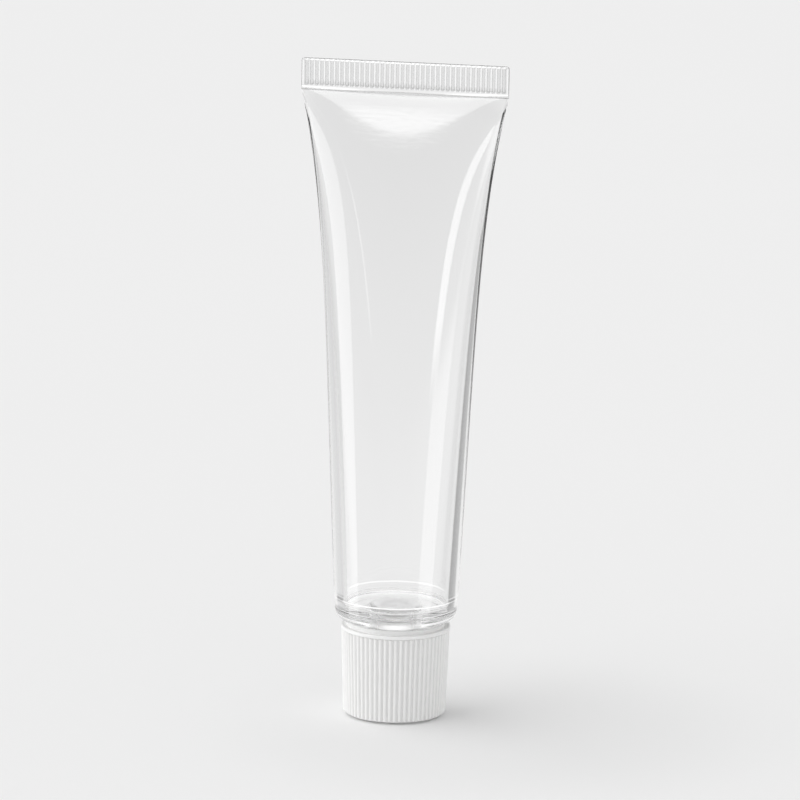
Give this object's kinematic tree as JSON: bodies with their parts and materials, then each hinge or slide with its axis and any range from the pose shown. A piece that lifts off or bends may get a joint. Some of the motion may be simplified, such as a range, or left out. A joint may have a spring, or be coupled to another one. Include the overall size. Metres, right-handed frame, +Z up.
{
  "type": "empty squeeze tube",
  "caption": "Clear, empty squeeze tube with a flat crimped end, standing on its white ribbed screw cap.",
  "frame": {"origin": "centre of the cap's flat base, on which the tube stands", "axes": "+Z up along the tube's axis from the cap to the crimped seal, X along the seal's width, Y through the tube's depth"},
  "size_m": [0.042, 0.025, 0.1333],
  "materials": {
    "clear_sleeve": "clear glossy plastic wall",
    "clear_head": "clear glossy moulded plastic",
    "white_cap": "satin white moulded plastic",
    "white_insert": "satin white moulded plastic",
    "white_liner": "soft white sealing foam"
  },
  "bodies": {
    "tube": {"tube_sleeve": "clear_sleeve", "tube_head": "clear_head"},
    "liner": {"cap_liner": "white_liner"},
    "cap": {"cap_shell": "white_cap", "cap_insert": "white_insert"}
  },
  "joints": [
    {"name": "cap_travel", "type": "slide", "parent": "tube", "child": "liner", "axis": [0, 0, -1], "range_m": [0, 0.0105]},
    {"name": "cap_turn", "type": "hinge", "parent": "liner", "child": "cap", "pos_m": [0, 0, 0], "axis": [0, 0, -1], "range_deg": [0, 1260]}
  ],
  "couplings": [
    {"joint": "cap_travel", "follows": "cap_turn", "m_per_rad": 0.00047746}
  ]
}
